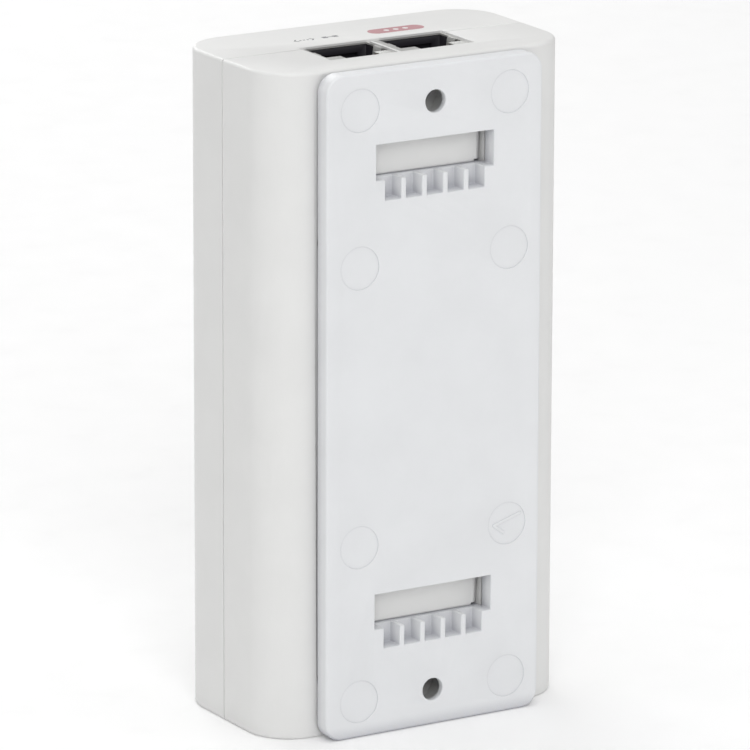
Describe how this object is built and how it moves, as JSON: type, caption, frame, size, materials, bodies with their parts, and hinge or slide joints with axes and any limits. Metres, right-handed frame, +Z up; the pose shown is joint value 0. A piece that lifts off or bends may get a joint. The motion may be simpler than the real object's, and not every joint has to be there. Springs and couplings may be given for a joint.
{
  "type": "poe injector",
  "caption": "Mains-fed power over Ethernet injector in a white two-shell housing with two RJ45 sockets on top, a mains inlet below and a slide-on wall bracket behind.",
  "frame": {"origin": "middle of the footprint, on the surface that the injector stands on", "axes": "+Z up towards the sockets, +Y towards the wall side with the bracket, -Y towards the plain front face with the status light"},
  "size_m": [0.0576, 0.0352, 0.1125],
  "materials": {
    "housing_plastic": "fine moulded grain, matt white",
    "bracket_plastic": "fine moulded grain, satin white",
    "jack_plastic": "black moulded",
    "shield_metal": "tin-plated sheet",
    "contact_gold": "gold-plated wire",
    "inlet_plastic": "black moulded",
    "pin_metal": "nickel-plated brass",
    "screw_steel": "zinc-plated",
    "lead_brown": "insulated wire",
    "lead_blue": "insulated wire",
    "lead_green": "insulated wire",
    "board_laminate": "green solder mask",
    "insulating_film": "thin film",
    "black_component": "black epoxy",
    "grey_component": "ferrite grey",
    "yellow_component": "yellow box and tape",
    "copper_winding": "enamelled copper",
    "capacitor_sleeve": "shrunk sleeve",
    "ceramic_disc": "dipped ceramic",
    "heatsink_aluminium": "plain sheet",
    "led_epoxy": "tinted epoxy",
    "light_pipe_clear": "clear acrylic"
  },
  "bodies": {
    "bracket": {"wall_bracket": "bracket_plastic"},
    "injector": {"front_shell": "housing_plastic", "rear_shell": "housing_plastic", "case_screws": "screw_steel", "lan_jack": "jack_plastic", "poe_jack": "jack_plastic", "lan_shield": "shield_metal", "poe_shield": "shield_metal", "lan_contacts": "contact_gold", "poe_contacts": "contact_gold", "inlet_body": "inlet_plastic", "line_pin": "pin_metal", "neutral_pin": "pin_metal", "earth_pin": "pin_metal", "line_lead": "lead_brown", "neutral_lead": "lead_blue", "earth_lead": "lead_green", "circuit_board": "board_laminate", "insulating_sheet": "insulating_film", "fuse": "black_component", "thermistor": "black_component", "x_capacitor": "yellow_component", "common_mode_choke": "copper_winding", "bridge_rectifier": "black_component", "bulk_capacitor": "capacitor_sleeve", "heatsink": "heatsink_aluminium", "switch_transistor": "black_component", "transformer_core": "grey_component", "transformer_winding": "yellow_component", "output_capacitors": "capacitor_sleeve", "output_inductor": "grey_component", "y_capacitor": "ceramic_disc", "optocoupler": "black_component", "controller_chip": "black_component", "lan_magnetics": "black_component", "poe_magnetics": "black_component", "status_led": "led_epoxy", "light_pipe": "light_pipe_clear"}
  },
  "joints": [
    {"name": "bracket_slide", "type": "slide", "parent": "bracket", "child": "injector", "axis": [0, 0, 1], "range_m": [0, 0.006]}
  ]
}
